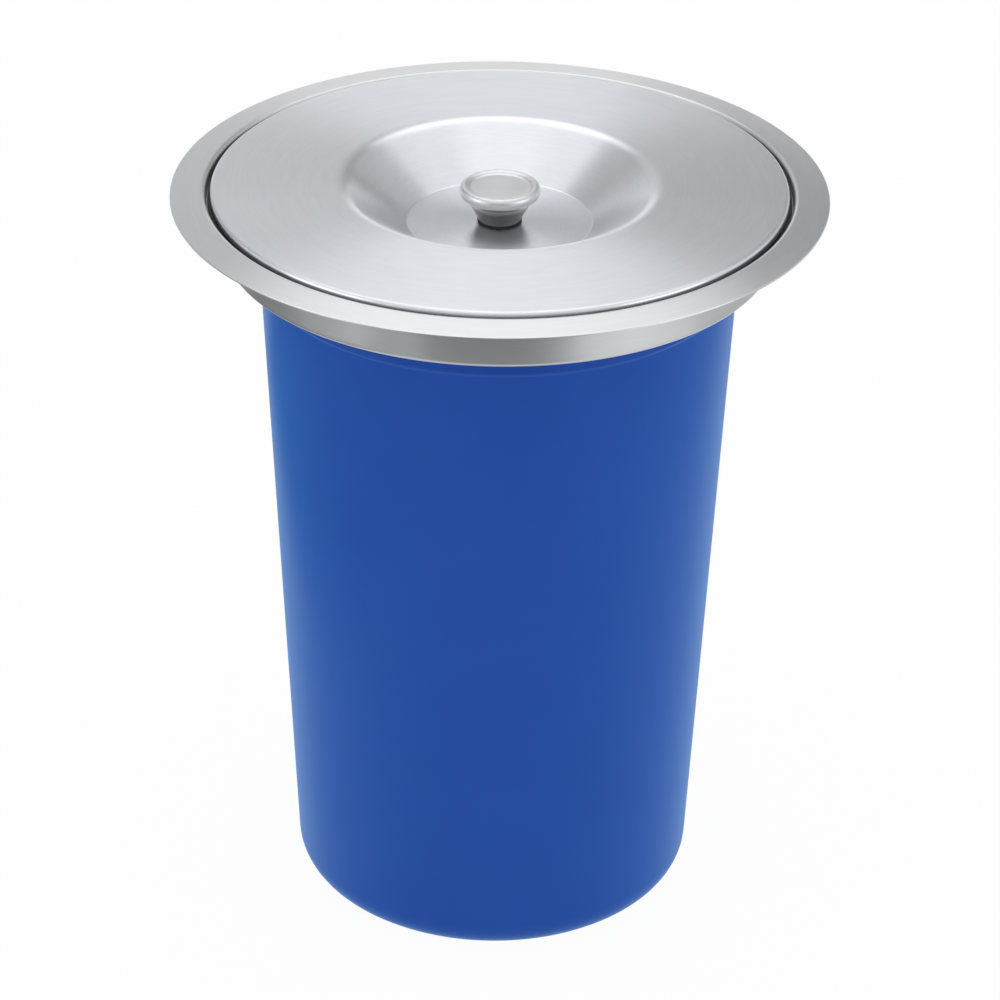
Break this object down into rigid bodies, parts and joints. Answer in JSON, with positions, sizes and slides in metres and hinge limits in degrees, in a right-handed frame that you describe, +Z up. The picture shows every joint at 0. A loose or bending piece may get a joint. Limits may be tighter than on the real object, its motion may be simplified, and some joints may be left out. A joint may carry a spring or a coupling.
{
  "type": "benchtop bin",
  "caption": "Round drop-in bin for a benchtop: steel ring with a collar, dished steel lid with a knob, and a tapered plastic bucket with a bail.",
  "frame": {"origin": "centre of the bucket's foot, on the surface the bin stands on", "axes": "+Z up out of the benchtop; the bail lies towards +Y and its pivots are on a line along X"},
  "size_m": [0.32, 0.32, 0.3857],
  "materials": {
    "ring_steel": "circular brushed",
    "lid_steel": "circular brushed",
    "knob_metal": "satin turned",
    "plated_steel": "bright plated",
    "seal_rubber": "matt",
    "blue_plastic": "satin gloss",
    "grip_plastic": "matt"
  },
  "bodies": {
    "ring": {"top_flange": "ring_steel", "collar": "ring_steel", "lid_seal": "seal_rubber", "flange_seal": "seal_rubber"},
    "bucket_body": {"bucket": "blue_plastic"},
    "lid": {"lid_shell": "lid_steel", "knob": "knob_metal", "knob_gasket": "seal_rubber", "knob_washer": "plated_steel", "knob_screw": "plated_steel"},
    "bail_body": {"bail": "plated_steel", "bail_grip": "grip_plastic"}
  },
  "joints": [
    {"name": "bucket_lift", "type": "slide", "parent": "ring", "child": "bucket_body", "axis": [0, 0, 1], "range_m": [0, 0.4]},
    {"name": "lid_lift", "type": "slide", "parent": "bucket_body", "child": "lid", "axis": [0, 0, 1], "range_m": [0, 0.25]},
    {"name": "bail_swing", "type": "hinge", "parent": "bucket_body", "child": "bail_body", "pos_m": [0, 0, 0.3684], "axis": [1, 0, 0], "range_deg": [0, 90]}
  ],
  "couplings": [
    {"joint": "bail_swing", "follows": "lid_lift", "rad_per_m": 6.28}
  ]
}
